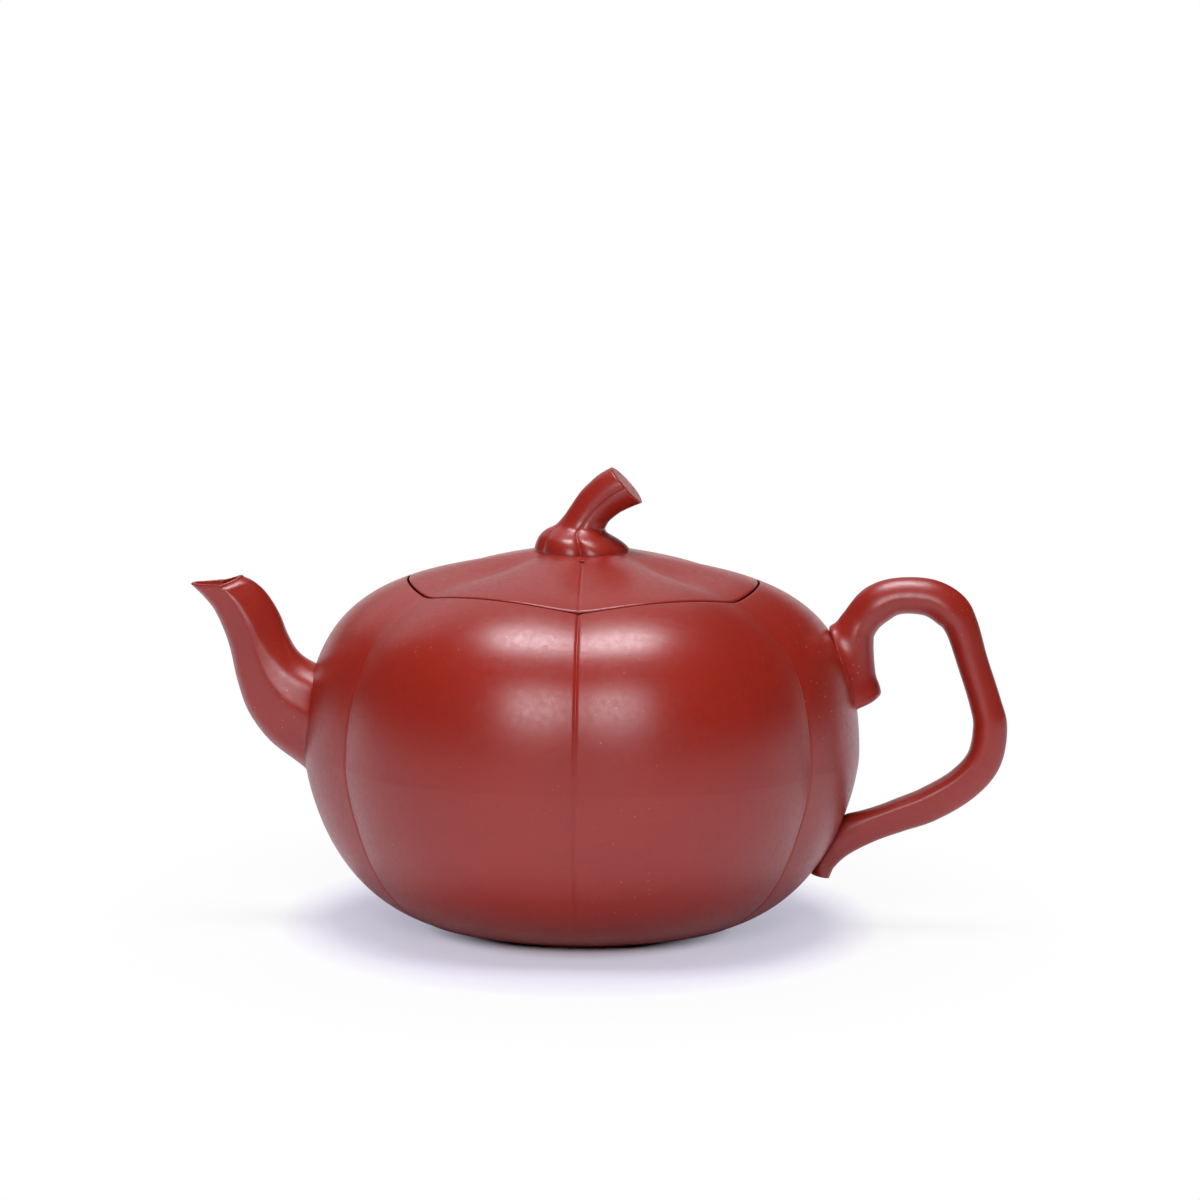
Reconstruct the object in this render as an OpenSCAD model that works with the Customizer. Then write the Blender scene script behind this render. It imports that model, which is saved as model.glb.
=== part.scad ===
// Gourd teapot with six lobes, a flush lid and a stalk knob.
// Z is up, the pot stands on z = 0, the spout points to -X and the handle to +X.

/* [Body] */
// width of the pot across two opposite lobes
body_w = 108.3; // [80:0.1:140]
// height of the widest level above the table
waist_z = 33.85; // [25:0.05:45]
// height where the shoulder curve would meet on the axis
crown_z = 75.2; // [60:0.1:95]
// drop of the crown's guide point, which sets how conical the lid is
crown_drop = 6.97; // [0:0.01:15]
// radius of the crown's guide point
crown_r = 30.98; // [15:0.01:45]
// share of the shoulder height held upright before it rolls inwards
shoulder_pull = 0.878; // [0.5:0.001:1]
// radius of the belly's guide point at table height
belly_r = 50.5; // [40:0.1:60]
// radius where the belly curve runs out flat
foot_r = 20.8; // [15:0.1:35]
// number of lobes
lobes = 6; // [4:1:10]
// depth of the creases between lobes at the widest level
crease_depth = 2.69; // [0.5:0.01:5]
// share of the crease that is a soft wave; the rest is a sharp fold
crease_soft = 0.32; // [0:0.01:1]
// how tightly the sharp fold hugs its line
crease_power = 2.65; // [1:0.05:6]
// rounding at the bottom of the pot's creases, in parts of half a lobe
crease_round = 0.03; // [0:0.01:0.3]
// thickness of the clay wall
wall = 3.2; // [2:0.1:5]
// share of the crease depth that also shows inside
crease_inside = 0.55; // [0:0.05:1]
// level of the joint between the wall and the base plate
base_joint_z = 1.2; // [0.5:0.1:3]
// level of the base plate's inner face
base_top_z = 3.3; // [2:0.1:6]

/* [Mouth and lid] */
// radius of the lid's round edge
lid_r = 34; // [25:0.1:40]
// rounding at the bottom of the lid's creases, in parts of half a lobe
lid_round = 0.14; // [0:0.01:0.3]
// gap between the lid's edge and the pot around it
lid_gap = 0.3; // [0.1:0.05:1]
// level of the ledge that the lid rests on
seat_z = 63.2; // [58:0.1:70]
// width of the wall's flat underside where the ledge ring is joined
ledge_lap = 2; // [1:0.1:4]
// inner radius of the ledge ring
ledge_r = 28.8; // [20:0.1:32]
// thickness of the ledge ring
ledge_t = 2.6; // [1.5:0.1:5]
// gap between the lid's tongue and the ledge ring
tongue_gap = 0.3; // [0.1:0.05:1]
// thickness of the tongue
tongue_t = 2.4; // [1.5:0.1:5]
// height of the tongue below the lid
tongue_h = 5.5; // [3:0.1:12]
// thickness of the lid over its hollow
lid_t = 3.3; // [2:0.1:5]
// diameter of the air hole
vent_d = 1.8; // [1:0.1:3]
// distance of the air hole from the axis, in the front crease
vent_y = 10.9; // [9:0.1:20]

/* [Spout] */
// distance of the spout's tip from the axis
spout_reach = 76.4; // [65:0.1:90]
// height of the spout's tip
tip_z = 65.5; // [50:0.1:80]
// length of the spout's mouth from its tip to the back of its rim
mouth_l = 10.4; // [7:0.1:16]
// half width of the spout across its mouth
mouth_w = 4.4; // [3:0.1:8]
// half width of the spout at its root
root_w = 9.6; // [6:0.1:14]
// lowest level of the spout's root
root_low_z = 27.9; // [20:0.1:40]
// highest level of the spout's root
root_high_z = 50.4; // [40:0.1:60]
// wall of the spout at its mouth
lip_t = 1.1; // [0.8:0.1:3]
// wall of the spout at its root
root_t = 2.2; // [1.5:0.1:4]
// how far luted pieces bite into the pot's wall
lute = 0.6; // [0.3:0.1:2]

/* [Strainer] */
// radius of the outlet bored through the wall
outlet_r = 7; // [4:0.1:10]
// level of the outlet's axis
outlet_z = 39.6; // [30:0.1:50]
// bite of the strainer's collar into the outlet's wall
strainer_bite = 0.25; // [0.1:0.05:0.5]
// thickness of the strainer's dome
strainer_t = 1.3; // [0.8:0.1:2]
// radius of each strainer hole
strainer_hole_r = 0.75; // [0.5:0.05:1.2]
// rings of holes around the middle one
strainer_rings = 2; // [1:1:3]

/* [Handle] */
// distance of the handle's outermost point from the axis
handle_reach = 82.9; // [70:0.1:100]
// height of the handle's top
handle_top_z = 68.8; // [60:0.1:85]
// thickness of the handle's arm
handle_t = 7; // [5:0.1:10]
// level of the middle of the handle's tail end
tail_z = 9.8; // [5:0.1:20]
// level of the middle of the upper stub's cut end
stub_z = 43.6; // [35:0.1:52]
// spread of the clay where the upper root runs out on the wall
root_spread = 2.6; // [0.5:0.1:5]

/* [Knob] */
// radius of the knob's swollen foot
knob_r = 9.3; // [7:0.1:12]
// level of the knob's flat underside, let into the lid
knob_z = 72.45; // [70:0.05:76]
// height of the stalk's highest point
knob_top_z = 89.5; // [84:0.1:100]
// distance of the middle of the stalk's cut end from the axis
stalk_out = 8.1; // [2:0.1:12]
// radius of the stalk at its cut end
stalk_end_r = 4.55; // [3:0.05:7]
// radius of the stalk at its narrowest
stalk_r = 4.2; // [2.5:0.05:6]
// lean of the stalk's cut end in degrees
knob_lean = 47.6; // [0:0.1:80]
// number of flutes on the knob
flutes = 6; // [4:1:9]
// depth of the flutes in parts of the radius
flute_depth = 0.14; // [0:0.01:0.3]

/* [Hidden] */
pitch = 360 / lobes;
waist_r = body_w / 2;
rise = crown_z - waist_z;
belly_drop = 0.938;
under_z = 0.33;
round_n = 96;
eps = 0.001;
shoulder = [
    [0, crown_z],
    [crown_r, crown_z - crown_drop],
    [waist_r, waist_z + shoulder_pull * rise],
    [waist_r, waist_z]
];
belly = [
    [waist_r, waist_z],
    [waist_r, (waist_z + under_z) * belly_drop - under_z],
    [belly_r, -under_z],
    [foot_r, -under_z]
];

// ---- curves ----
function cubic(p, t) =
    pow(1 - t, 3) * p[0] + 3 * pow(1 - t, 2) * t * p[1] + 3 * (1 - t) * t * t * p[2] + t * t * t * p[3];
function smooth(t) = let (u = min(1, max(0, t))) u * u * (3 - 2 * u);
function mix(a, b, t) = a * (1 - t) + b * t;
function unit(v) = v / norm(v);

// the larger of x and low, with a soft turn of width k between them
function eased(x, low, k) = (x + low + sqrt((x - low) * (x - low) + k * k)) / 2;

// a smooth curve through the stations of a list, t counting stations
function through(p, t) =
    let (n = len(p) - 1)
    let (i = min(n - 1, max(0, floor(t))))
    let (u = t - i)
    let (b = p[i], c = p[i + 1])
    let (a = i > 0 ? p[i - 1] : 2 * b - c, d = i < n - 1 ? p[i + 2] : 2 * c - b)
    0.5 * (2 * b + (c - a) * u + (2 * a - 5 * b + 4 * c - d) * u * u + (3 * b - a - 3 * c + d) * u * u * u);

// ---- lobed surface ----
// 0 on the middle of a lobe, 1 on the crease at angle -90
function crease(a, r) =
    let (u = abs(a + 90 - pitch * round((a + 90) / pitch)) / (pitch / 2))
    let (fold = pow(max(0, 1 - sqrt(u * u + r * r)), crease_power))
    crease_soft * (0.5 + 0.5 * cos(180 * u)) + (1 - crease_soft) * fold;

// meridian of the lobes: u = 0 crown, 1 widest level, 2 foot
function meridian(u) = u <= 1 ? cubic(shoulder, u) : cubic(belly, u - 1);
function meridian_out(u) =
    let (d = meridian(min(2, u + eps)) - meridian(max(0, u - eps)))
    unit([-d[1], d[0]]);
function crease_at(u, a, r) =
    crease_depth * meridian(u)[0] / waist_r * (1 - smooth((u - 1.35) / 0.6)) * crease(a, r);

// a point of the shell: radius and level, s = 0 outside, 1 inside a wall of thickness w
function shell(u, a, s, w, r = crease_round) =
    meridian(u) - (crease_at(u, a, r) * mix(1, crease_inside, s) + s * w) * meridian_out(u);

// where the surface with creases rounded by c has plan radius r on the shoulder
function u_of_r(r, a, c = crease_round, lo = 0, hi = 1, n = 22) =
    let (m = (lo + hi) / 2)
    n == 0 ? m : shell(m, a, 0, 0, c)[0] < r ? u_of_r(r, a, c, m, hi, n - 1) : u_of_r(r, a, c, lo, m, n - 1);

// where the outer surface has level z
function u_of_z(z, a, lo = 0, hi = 2, n = 22) =
    let (m = (lo + hi) / 2)
    n == 0 ? m : shell(m, a, 0, 0)[1] > z ? u_of_z(z, a, m, hi, n - 1) : u_of_z(z, a, lo, m, n - 1);

// distance from the YZ plane to the lobed surface at width y and level z
function wall_x(y, z, a = 0, n = 4) =
    let (r = shell(u_of_z(z, a), a, 0, 0)[0])
    let (x = sqrt(max(1, r * r - y * y)))
    n == 0 ? x : wall_x(y, z, atan2(y, x), n - 1);

function spin(p, a) = [p[0] * cos(a), p[0] * sin(a), p[1]];

// angles once round, closer together near each crease
around = [
    for (k = [0 : lobes - 1]) for (j = [-5 : 4])
        -90 + pitch * k + sign(j) * pow(abs(j) / 5, 1.4) * pitch / 2
];
around_back = [for (i = [len(around) - 1 : -1 : 0]) around[i]];

// ---- skins ----
// a closed skin over m rings of n points, which run anticlockwise as seen from the last ring
function skin_faces(m, n, last) = [
    for (i = [0 : last]) for (j = [0 : n - 1])
        let (a = i * n + j, b = i * n + (j + 1) % n)
        let (c = ((i + 1) % m) * n + j, d = ((i + 1) % m) * n + (j + 1) % n)
        each [[a, c, b], [b, c, d]]
];

// rings that run out and back, so that the last joins the first
module loop_skin(rings) {
    m = len(rings);
    n = len(rings[0]);
    polyhedron(points = [for (r = rings) each r], faces = skin_faces(m, n, m - 1), convexity = 8);
}

// rings from one end to the other, closed by a fan at each end
module capped_skin(rings, first, last) {
    m = len(rings);
    n = len(rings[0]);
    side = skin_faces(m, n, m - 2);
    cap_a = [for (j = [0 : n - 1]) [m * n, j, (j + 1) % n]];
    cap_b = [for (j = [0 : n - 1]) [m * n + 1, (m - 1) * n + (j + 1) % n, (m - 1) * n + j]];
    polyhedron(points = concat([for (r = rings) each r], [first, last]), faces = concat(side, cap_a, cap_b), convexity = 8);
}

// ---- body ----
wall_top_n = 12;
wall_low_n = 11;
inner_u = [for (i = [0 : 11]) mix(1.94, 0.55, i / 11)];
mouth_r = lid_r + lid_gap;

module body_wall() {
    color("#8e3431")
    difference() {
        loop_skin(concat(
            [for (i = [0 : wall_top_n]) [for (a = around_back) spin(shell(mix(u_of_r(mouth_r, a), 1, i / wall_top_n), a, 0, 0), a)]],
            [for (i = [1 : wall_low_n]) [for (a = around_back) spin(shell(mix(1, u_of_z(base_joint_z, a), i / wall_low_n), a, 0, 0), a)]],
            [[for (a = around_back) spin([shell(1.94, a, 1, wall)[0], base_joint_z], a)]],
            [for (u = inner_u) [for (a = around_back) spin(shell(u, a, 1, wall), a)]],
            [[for (a = around_back) spin([mouth_r + ledge_lap, seat_z], a)]],
            [[for (a = around_back) spin([mouth_r, seat_z], a)]]
        ));
        translate([-waist_r - 2, 0, outlet_z])
            rotate([0, 90, 0])
                cylinder(r = outlet_r, h = 16, $fn = round_n);
    }
}

boss_r = shell(1.94, 0, 1, wall)[0] - 0.3;
joint_u = u_of_z(base_joint_z, 0);
foot_u = u_of_z(0, 0);

module base_plate() {
    color("#87302e")
    rotate_extrude($fn = round_n)
        polygon(concat(
            [[0, base_top_z], [0, 0], [shell(foot_u, 0, 0, 0)[0], 0]],
            [for (i = [1 : 5]) shell(mix(foot_u, joint_u, i / 5), 0, 0, 0)],
            [[boss_r, base_joint_z], [boss_r, base_top_z]]
        ));
}

ledge_out = mouth_r + ledge_lap - 0.3;

module mouth_ring() {
    color("#7c2b29")
    rotate_extrude($fn = round_n)
        polygon([
            [ledge_r, seat_z],
            [ledge_r, seat_z - ledge_t + 0.6],
            [ledge_r + 0.6, seat_z - ledge_t],
            [ledge_out - 1.6, seat_z - ledge_t],
            [ledge_out, seat_z - ledge_t + 1.6],
            [ledge_out, seat_z]
        ]);
}

// ---- strainer ----
collar_r = outlet_r + strainer_bite;
collar_l = wall + 0.2;
dome_r = collar_r + 0.6;
strainer_x = wall - 1 - wall_x(0, outlet_z);

module strainer() {
    color("#7c2b29")
    translate([strainer_x, 0, outlet_z])
        rotate([0, 90, 0])
            difference() {
                rotate_extrude($fn = 64)
                    polygon(concat(
                        [[0, collar_l + dome_r - 0.6], [0, collar_l + dome_r - 0.6 - strainer_t]],
                        [for (t = [10 : 10 : 80])
                            [(dome_r - 0.6 - strainer_t) * sin(t), collar_l + (dome_r - 0.6 - strainer_t) * cos(t)]],
                        [[collar_r - strainer_t, collar_l], [collar_r - strainer_t, 0], [collar_r, 0], [collar_r, collar_l]],
                        [for (t = [80 : -10 : 10]) [(dome_r - 0.6) * sin(t), collar_l + (dome_r - 0.6) * cos(t)]]
                    ));
                translate([0, 0, collar_l])
                    cylinder(r = strainer_hole_r, h = 12, $fn = 24);
                for (k = [1 : strainer_rings])
                    for (i = [0 : 6 * k - 1])
                        rotate([0, 0, 60 / k * i])
                            rotate([0, 24 * k, 0])
                                translate([0, 0, 1])
                                    cylinder(r = strainer_hole_r, h = 12, $fn = 24);
            }
}

// ---- spout ----
// stations from root to mouth, in parts of the way from the waist to the tip or rim and from the root to the mouth
rim_x = spout_reach - mouth_l * 0.98;
rim_z = tip_z + mouth_l * 0.163;
low_way = [
    [-0.16, 0], [0.065, 0.085], [0.303, 0.189], [0.488, 0.335], [0.587, 0.495],
    [0.667, 0.694], [0.775, 0.848], [0.874, 0.928], [1, 1]
];
high_way = [
    [-0.427, -0.048], [-0.104, 0.024], [0.112, 0.143], [0.27, 0.333], [0.386, 0.536],
    [0.527, 0.714], [0.676, 0.851], [0.842, 0.946], [1, 1]
];
spout_low = [for (w = low_way) [mix(waist_r, spout_reach, w[0]), mix(root_low_z, tip_z, w[1])]];
spout_high = [for (w = high_way) [mix(waist_r, rim_x, w[0]), mix(root_high_z, rim_z, w[1])]];
spout_half = [for (w = [0, 0.23, 0.42, 0.58, 0.69, 0.79, 0.88, 0.95, 1]) mix(root_w, mouth_w, w)];
// the flat along the spout's side: where it begins and ends from the low edge (-1) to the high edge (1)
spout_flat = [
    [0.04, 0.5], [0.06, 0.5], [0.02, 0.46], [-0.02, 0.38], [-0.06, 0.26], [-0.05, 0.17], [-0.08, 0.1], [-0.04, 0.1], [0.16, 0.24]
];
spout_rows = 22;
// turns of the section's points, with one at each corner of the side
half_turns = [14, 25, 40, 56, 72, 84, 96, 116, 136, 155, 168];
spout_a = concat([0], -half_turns, [-180], [for (i = [len(half_turns) - 1 : -1 : 0]) half_turns[i] - 360]);

// outer section with a flat between two edges on each side, as straight faces between corners
function flat_line(f, a) =
    let (m = (a % 360 + 360) % 360)
    let (h = m > 180 ? 360 - m : m)
    let (stops = [0, 25, 72, 96, 155, 180])
    let (i = h < 25 ? 0 : h < 72 ? 1 : h < 96 ? 2 : h < 155 ? 3 : 4)
    let (v = [[-1, 0], [-1, 0.42], [f[0], 1], [f[1], mix(1, 0.82, 2 * (f[1] - f[0]))], [1, 0.5], [1, 0]])
    let (p = mix(v[i], v[i + 1], (h - stops[i]) / (stops[i + 1] - stops[i])))
    m > 180 ? [p[0], -p[1]] : p;
function flat_section(t, a) =
    let (f = through(spout_flat, t))
    let (near = abs(abs((a % 360 + 360) % 360 - 180) - 108))
    let (reach = mix(3, 16, smooth((near - 8) / 50)))
    (flat_line(f, a - reach) + flat_line(f, a) + flat_line(f, a + reach)) / 3;

// inner section: a soft diamond
function side(v, n) = sign(v) * pow(abs(v), n);
function spout_point(t, a, s) =
    let (lo = through(spout_low, t), hi = through(spout_high, t), w = through(spout_half, t))
    let (half = norm(hi - lo) / 2, dir = unit(hi - lo), mid = (hi + lo) / 2)
    let (k = mix(root_t, lip_t, t / 8))
    let (c = flat_section(t, a))
    let (out = [half * c[0], w * c[1]])
    let (ins = [(half - k) * (-side(cos(a), 1.12) - 0.1 * pow(sin(a), 2)), (w - k) * side(sin(a), 1.12)])
    let (p = s == 0 ? out : ins, dip = smooth(t - 7) * 0.6 * pow(sin(a), 2))
    [-(mid + dir * p[0])[0], p[1], (mid + dir * p[0])[1] - dip];

// the root ring lies on the lobed wall, bitten in by the lute
function spout_root(a, s) = let (p = spout_point(0.45, a, s)) [lute - wall_x(p[1], p[2]), p[1], p[2]];

module spout() {
    color("#8e3431")
    loop_skin(concat(
        [[for (a = spout_a) spout_root(a, 0)]],
        [for (i = [0 : spout_rows]) [for (a = spout_a) spout_point(mix(0.95, 8, i / spout_rows), a, 0)]],
        [[for (a = spout_a) spout_point(8, a, 1)]],
        [for (i = [1 : 12]) [for (a = spout_a) spout_point(mix(8, 1.1, i / 12), a, 1)]],
        [[for (a = spout_a) spout_root(a, 1)]]
    ));
}

// ---- handle ----
// the free arm's stations: way out from the waist, way up from the tail, half thickness, in parts
ht = handle_t / 2;
hx = handle_reach - ht;
hz = handle_top_z - ht;
arm_way = [
    [0.089, 0.177, 0.86], [0.315, 0.22, 0.93], [0.537, 0.259, 0.985], [0.79, 0.33, 0.985], [0.956, 0.418, 0.985],
    [1.004, 0.533, 0.96], [0.964, 0.623, 0.885], [0.857, 0.771, 0.87], [0.77, 0.892, 0.94], [0.679, 0.953, 1.07],
    [0.513, 0.995, 1.04], [0.279, 0.998, 1.03], [0.117, 0.968, 1.11]
];
// the stub's stations under the arm's end: level in parts from the stub to the top, distance of the middle from
// the wall and half thickness in parts of the arm's, lean of the section
stub_way = [[0.77, 2.33, 1.06, 0], [0.608, 1.07, 1.14, 0], [0.267, 0.23, 1.17, 0], [0.106, 0.29, 1.185, 8], [0, 0.38, 1.17, 12]];
// the tail's stations: rise over the tail's end, distance of the middle from the wall, half thickness
tail_way = [[0, 0.83, 0.43], [0.89, 0.4, 0.6], [1.89, 0.61, 0.77]];
handle_path = concat(
    [for (w = tail_way) [wall_x(0, tail_z + w[0] * ht) + w[1] * ht, tail_z + w[0] * ht, w[2] * ht, 0]],
    [for (w = arm_way) [mix(waist_r, hx, w[0]), mix(tail_z, hz, w[1]), w[2] * ht, 0]],
    [for (w = stub_way) let (z = mix(stub_z, hz, w[0])) [wall_x(0, z) + w[1] * ht, z, w[2] * ht, w[3]]]
);
handle_n = 20;
handle_rows = 56;
handle_end = len(handle_path) - 1;

// a point of the arm: a soft diamond with its ridge set inwards, spread and eased where it runs out on the wall
function handle_point(t, a, s = 1) =
    let (p = through(handle_path, t))
    let (q0 = through(handle_path, max(0, t - 0.05)), q1 = through(handle_path, min(handle_end, t + 0.05)))
    let (f = unit([q1[0] - q0[0], q1[1] - q0[1]]))
    let (out = [f[1] * cos(p[3]) + f[0] * sin(p[3]), f[1] * sin(p[3]) - f[0] * cos(p[3])])
    let (web = cos(a) < 0 ? 1 + 0.5 * exp(-pow((t - 2.3) / 0.75, 2)) : 1)
    let (ridge = 0.06 + 0.38 * smooth((t - 1.5) / 1.5) * (1 - smooth((t - 6) / 3)))
    let (h = p[2] * (side(cos(a), 1.18) * web - ridge * pow(sin(a), 2)) * s)
    let (y = 1.02 * max(p[2], 0.57 * ht) * side(sin(a), 1.18) * s)
    let (x = p[0] + h * out[0], z = p[1] + h * out[1])
    x > waist_r + 2.2 * ht ? [x, y, z] :
    let (spread = mix(0.8, root_spread, smooth((z - (tail_z + stub_z) / 2) / 17)))
    let (away = min(1, max(0, x - wall_x(y, z)) / spread))
    let (wide = y + spread * pow(1 - away, 2) * sin(a) * s)
    let (free = smooth((x - waist_r - 0.5 * ht) / (1.5 * ht)))
    [eased(x, wall_x(wide, z) - lute, (0.5 + 1.5 * pow(sin(a), 2)) * (1 - free)), wide, z];
handle_a = [for (j = [0 : handle_n - 1]) 360 * j / handle_n];

module handle() {
    color("#8e3431")
    capped_skin(
        concat(
            [for (i = [0 : handle_rows]) [for (a = handle_a) handle_point((handle_end - 0.4) * i / handle_rows, a)]],
            [[for (a = handle_a) handle_point(handle_end - 0.15, a, 0.95)]],
            [[for (a = handle_a) handle_point(handle_end, a, 0.75)]]
        ),
        handle_point(0, 0, 0),
        handle_point(handle_end, 0, 0)
    );
}

// ---- lid ----
pad_r = 8;
hollow_r = ledge_r - tongue_gap - tongue_t - 0.3;
lid_n = 9;

module lid_top() {
    color("#933733")
    difference() {
        capped_skin(
            concat(
                [for (i = [0 : lid_n]) [for (a = around_back)
                    let (u = mix(u_of_r(pad_r, a, lid_round), u_of_r(lid_r, a, lid_round), pow(i / lid_n, 0.9)))
                    spin(shell(u, a, 0, 0, lid_round), a)]],
                [[for (a = around_back) spin([lid_r, seat_z], a)]],
                [[for (a = around_back) spin([hollow_r, seat_z], a)]],
                [for (i = [0 : 4]) [for (a = around_back)
                    let (u = mix(0.33, 0.08, i / 4))
                    spin([min(hollow_r - 0.4, shell(u, a, 1, lid_t)[0]), shell(u, a, 1, lid_t)[1]], a)]]
            ),
            [0, 0, shell(u_of_r(pad_r, 0, lid_round), -90, 0, 0, lid_round)[1]],
            [0, 0, shell(0.06, 0, 1, lid_t)[1]]
        );
        translate([0, -vent_y, seat_z + 0.5])
            cylinder(d = vent_d, h = 16, $fn = 24);
    }
}

tongue_r = ledge_r - tongue_gap;

module lid_tongue() {
    color("#7c2b29")
    rotate_extrude($fn = round_n)
        polygon([
            [tongue_r - tongue_t, seat_z],
            [tongue_r - tongue_t, seat_z - tongue_h],
            [tongue_r - 0.6, seat_z - tongue_h],
            [tongue_r, seat_z - tongue_h + 0.6],
            [tongue_r, seat_z]
        ]);
}

// ---- knob ----
// the foot's stations: shift and radii in parts of the foot's, level in parts of the rise, turn of the section
knob_rise = knob_top_z - stalk_end_r * sin(knob_lean) - knob_z;
foot_way = [
    [-0.036, 0, 1, 1, 0], [-0.039, 0.08, 0.995, 1, 0], [-0.067, 0.17, 0.925, 0.945, 1],
    [-0.113, 0.257, 0.8, 0.828, 2], [-0.14, 0.333, 0.64, 0.624, 3]
];
// the stalk's stations: way out to its end, level, radius along the lean, radius across, turn in parts of the lean
stalk_way = [
    [-0.086, 0.396, 1.155, 1.095, 0.08], [0.012, 0.476, 1.05, 0.99, 0.17], [0.096, 0.55, 1.005, 0.95, 0.25],
    [0.228, 0.648, 1.01, 0.93, 0.38], [0.389, 0.755, 1.05, 0.93, 0.53], [0.568, 0.842, 1.07, 0.95, 0.67]
];
end_way = [[0.778, 0.93, 1.01, 0.9, 0.84], [1, 1, 1, 0.92, 1]];
knob_path = concat(
    [for (w = foot_way) [w[0] * knob_r, knob_z + w[1] * knob_rise, w[2] * knob_r, w[3] * knob_r, w[4]]],
    [for (w = stalk_way) [w[0] * stalk_out, knob_z + w[1] * knob_rise, w[2] * stalk_r, w[3] * stalk_r, w[4] * knob_lean]],
    [for (w = end_way) [w[0] * stalk_out, knob_z + w[1] * knob_rise, w[2] * stalk_end_r, w[3] * stalk_end_r, w[4] * knob_lean]]
);
knob_n = 36;
knob_rows = 24;
knob_end = len(knob_path) - 1;

// fluted section: creases between swollen lobes, of which only the front and back ones run on up the stalk
function flute(a, t) =
    let (u = abs(a + 90 - 360 / flutes * round((a + 90) * flutes / 360)) * flutes / 180)
    let (fold = 0.2 * (0.5 + 0.5 * cos(180 * u)) + 0.8 * pow(max(0, 1 - sqrt(u * u + 0.0009)), mix(2.4, 4, smooth((t - 2) / 4))))
    fold * mix(1, smooth((abs(sin(a)) - 0.6) / 0.3), smooth((t - 4) / 2));
function knob_point(t, a, s = 1) =
    let (p = through(knob_path, t))
    let (k = 1 - flute_depth * mix(1, 0.5, smooth((t - 3) / 3)) * flute(a, t), tip = 5 * smooth((t - 6) / 6))
    let (e = p[2] * cos(a) * k * s, w = p[3] * sin(a) * k * s)
    [
        p[0] + e * cos(p[4]) + w * sin(tip) * sin(p[4]),
        w * cos(tip),
        p[1] - e * sin(p[4]) + w * sin(tip) * cos(p[4])
    ];
knob_a = [for (j = [0 : knob_n - 1]) -90 + 360 * j / knob_n];

module stem_knob() {
    color("#93352f")
    capped_skin(
        [for (i = [0 : knob_rows]) [for (a = knob_a) knob_point(knob_end * i / knob_rows, a)]],
        knob_point(0, 0, 0),
        knob_point(knob_end, 0, 0) - 0.5 * [sin(knob_lean), 0, cos(knob_lean)]
    );
}

body_wall();
base_plate();
mouth_ring();
strainer();
spout();
handle();
lid_top();
lid_tongue();
stem_knob();
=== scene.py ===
"""Six-lobed gourd teapot in unglazed clay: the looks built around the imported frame.

Lengths inside the shape functions are millimetres and angles are degrees, as on a maker's drawing.
The spout points to -X, the handle to +X, the front crease to -Y, and Z is up.
Meshes are written in metres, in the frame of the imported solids.
"""

import math

import bpy
import numpy as np
from mathutils import Matrix, Vector


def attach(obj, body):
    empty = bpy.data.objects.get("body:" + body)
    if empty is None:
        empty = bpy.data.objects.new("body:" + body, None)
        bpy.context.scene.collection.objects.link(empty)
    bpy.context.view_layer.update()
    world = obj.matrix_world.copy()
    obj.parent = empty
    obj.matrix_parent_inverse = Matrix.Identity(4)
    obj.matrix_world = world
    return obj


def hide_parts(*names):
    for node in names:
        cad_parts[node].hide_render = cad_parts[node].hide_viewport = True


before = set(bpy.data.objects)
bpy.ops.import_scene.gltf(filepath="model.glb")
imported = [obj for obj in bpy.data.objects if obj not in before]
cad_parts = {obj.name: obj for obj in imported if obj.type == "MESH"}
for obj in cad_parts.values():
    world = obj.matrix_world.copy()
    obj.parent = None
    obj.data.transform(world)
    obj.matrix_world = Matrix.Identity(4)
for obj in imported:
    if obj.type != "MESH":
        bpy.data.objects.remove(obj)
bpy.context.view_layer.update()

# ---------------------------------------------------------------- sizes

# outline of the lobes
BODY_W = 108.3
WAIST_Z = 33.85
CROWN_Z = 75.2
CROWN_DROP = 6.97
CROWN_R = 30.98
SHOULDER_PULL = 0.878
BELLY_R = 50.5
FOOT_R = 20.8
UNDER_Z = 0.33
BELLY_DROP = 0.938

# creases between the lobes, and the thin line incised at their bottom
CREASE_DEPTH = 2.69
CREASE_SOFT = 0.32
CREASE_POWER = 2.65
CREASE_ROUND = 0.03
CREASE_INSIDE = 0.55
LINE_DEPTH = 0.22
LINE_HALF = 0.28

# wall and base plate
WALL = 3.2
BASE_JOINT_Z = 1.2
BASE_TOP_Z = 3.3
LAP_GAP = 0.3
RIM_EASE = 0.2

# lid, ledge and tongue
LID_R = 34.0
LID_GAP = 0.3
LID_ROUND = 0.14
LID_T = 3.3
LID_TRIM = 0.08
SEAT_Z = 63.2
LEDGE_LAP = 2.0
LEDGE_R = 28.8
LEDGE_T = 2.6
LEDGE_BEVEL = 1.6
TONGUE_GAP = 0.3
TONGUE_T = 2.4
TONGUE_H = 5.5
VENT_D = 1.0
VENT_Y = 10.9

# spout
SPOUT_REACH = 76.4
TIP_Z = 65.5
MOUTH_W = 4.4
ROOT_W = 9.6
LIP_T = 0.9
ROOT_T = 2.2
LUTE = 0.6
OUTLET_R = 7.0
OUTLET_Z = 39.6

# knob
KNOB_Z = 72.45
FLUTE_DEPTH = 0.14
KNOB_LEAN = 47.6

WAIST_R = BODY_W / 2
RISE = CROWN_Z - WAIST_Z
MOUTH_R = LID_R + LID_GAP

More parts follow.
